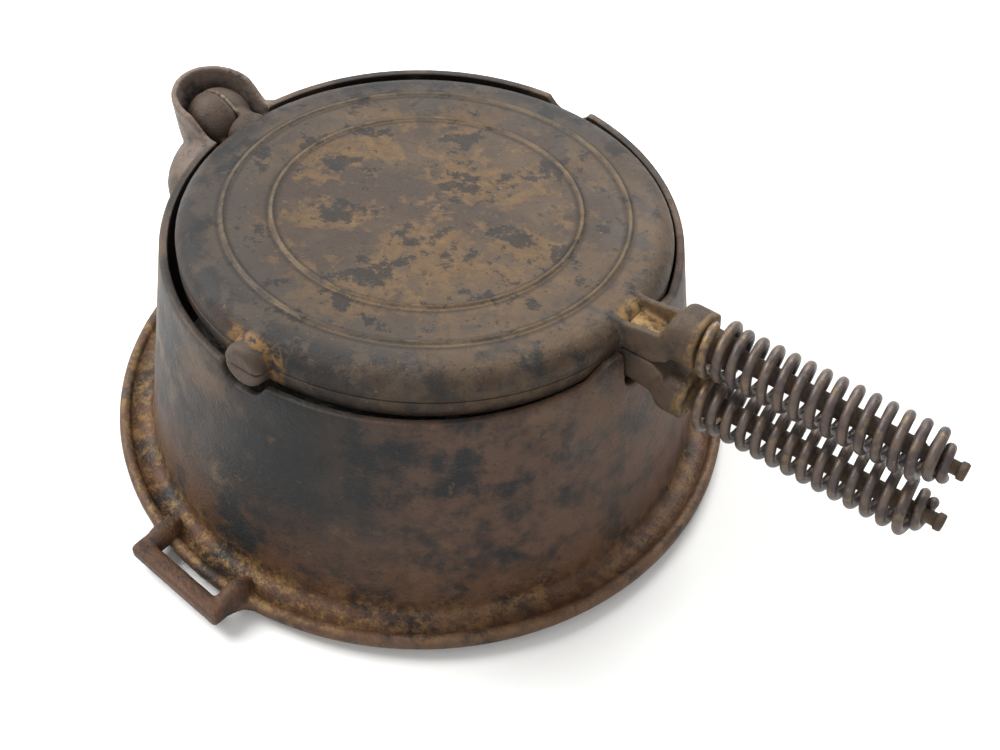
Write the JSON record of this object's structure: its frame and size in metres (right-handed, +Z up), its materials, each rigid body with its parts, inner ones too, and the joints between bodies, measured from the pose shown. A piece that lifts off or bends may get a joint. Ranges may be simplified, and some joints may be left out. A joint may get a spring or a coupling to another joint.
{
  "type": "stovetop waffle iron",
  "caption": "Cast iron stovetop waffle iron: a hinged pair of round pans with coiled wire grips, which turns over on a ball and socket in a high ring stand.",
  "frame": {"origin": "on the stove top, under the middle of the whole iron's box", "axes": "+X along the handles, away from the ball joint; +Z up; the lifting loops lie on plus and minus Y"},
  "size_m": [0.3584, 0.2946, 0.1334],
  "materials": {
    "stand_iron": "rough, seasoned, lightly rusted",
    "lower_pan_iron": "seasoned, lightly rusted",
    "upper_pan_iron": "worn, with tan rust patches",
    "coil_wire": "dull, browned"
  },
  "bodies": {
    "base": {"base_stand": "stand_iron"},
    "lower_iron": {"lower_pan": "lower_pan_iron", "lower_coil_grip": "coil_wire"},
    "upper_iron": {"upper_pan": "upper_pan_iron", "upper_coil_grip": "coil_wire"}
  },
  "joints": [
    {"name": "iron_flip", "type": "hinge", "parent": "base", "child": "lower_iron", "pos_m": [-0.15858, 0, 0.0974], "axis": [-0.9993, 0, -0.0384], "range_deg": [-1.8, 4]},
    {"name": "iron_open", "type": "hinge", "parent": "lower_iron", "child": "upper_iron", "pos_m": [-0.15858, 0, 0.0974], "axis": [-0.0025, -0.9978, 0.0662], "range_deg": [0, 98]}
  ]
}
